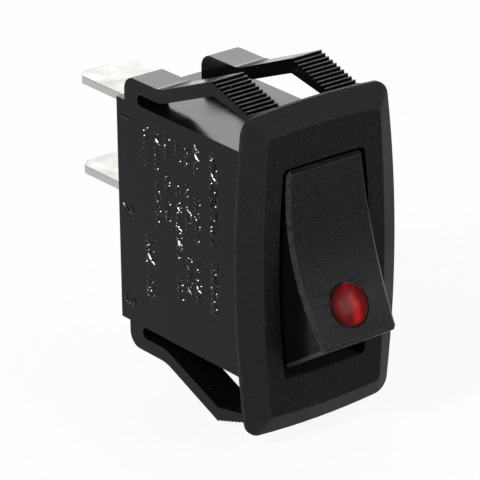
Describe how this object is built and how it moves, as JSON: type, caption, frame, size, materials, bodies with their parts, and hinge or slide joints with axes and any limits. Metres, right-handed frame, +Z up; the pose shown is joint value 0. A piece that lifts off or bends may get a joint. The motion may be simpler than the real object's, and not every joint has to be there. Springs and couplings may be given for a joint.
{
  "type": "illuminated rocker switch",
  "caption": "Snap-in panel rocker switch with a bowed bezel, a round red lamp lens in the rocker, serrated snap arms and blade terminals.",
  "frame": {"origin": "centre of the panel cut-out, on the bezel's rear face, where the panel's front surface lies", "axes": "+Y into the panel along the body and the terminals, +Z up along the bezel's long side towards terminal 1, +X to the right as seen from the front"},
  "size_m": [0.0182, 0.0375, 0.033],
  "materials": {
    "housing_nylon": "semi-gloss black moulded nylon, fine grain on the bezel",
    "rocker_nylon": "fine-grained matte black",
    "red_lens": "polished translucent red",
    "natural_nylon": "natural off-white moulding",
    "lamp_glass": "clear glass",
    "tinned_wire": "tinned",
    "resistor_coating": "satin lacquer",
    "contact_brass": "bright",
    "spring_steel": "drawn wire",
    "plunger_acetal": "smooth white",
    "contact_copper": "rolled copper alloy",
    "contact_silver": "silver alloy",
    "terminal_tin": "bright tin plate"
  },
  "bodies": {
    "base": {"housing": "housing_nylon", "terminal_1": "terminal_tin", "terminal_2": "terminal_tin", "fixed_contact_rivet": "contact_silver", "lamp_spring_left": "spring_steel", "lamp_spring_right": "spring_steel"},
    "rocker": {"rocker": "rocker_nylon", "lens": "red_lens", "lamp_holder": "natural_nylon", "lamp": "lamp_glass", "lamp_lead_left": "tinned_wire", "lamp_lead_right": "tinned_wire", "resistor": "resistor_coating", "resistor_lead_upper": "tinned_wire", "resistor_lead_lower": "tinned_wire", "contact_pad_left": "contact_brass", "contact_pad_right": "contact_brass", "plunger_spring": "spring_steel"},
    "plunger": {"plunger": "plunger_acetal"},
    "contact": {"moving_contact": "contact_copper", "moving_contact_rivet": "contact_silver"}
  },
  "joints": [
    {"name": "rocker_tilt", "type": "hinge", "parent": "base", "child": "rocker", "pos_m": [0, 0.0024, 0], "axis": [1, 0, 0], "range_deg": [0, 35], "deforming": ["lamp_spring_left", "lamp_spring_right"]},
    {"name": "contact_tilt", "type": "hinge", "parent": "base", "child": "contact", "pos_m": [0, 0.01174, 0], "axis": [1, 0, 0], "range_deg": [-17.5, 0]},
    {"name": "plunger_slide", "type": "slide", "parent": "rocker", "child": "plunger", "axis": [0, -0.9537, 0.3007], "range_m": [0, 0.0008], "stiffness_N_per_m": 200, "springref_m": -0.001, "deforming": ["plunger_spring"]}
  ],
  "couplings": [
    {"joint": "contact_tilt", "follows": "rocker_tilt", "ratio": -0.5}
  ]
}
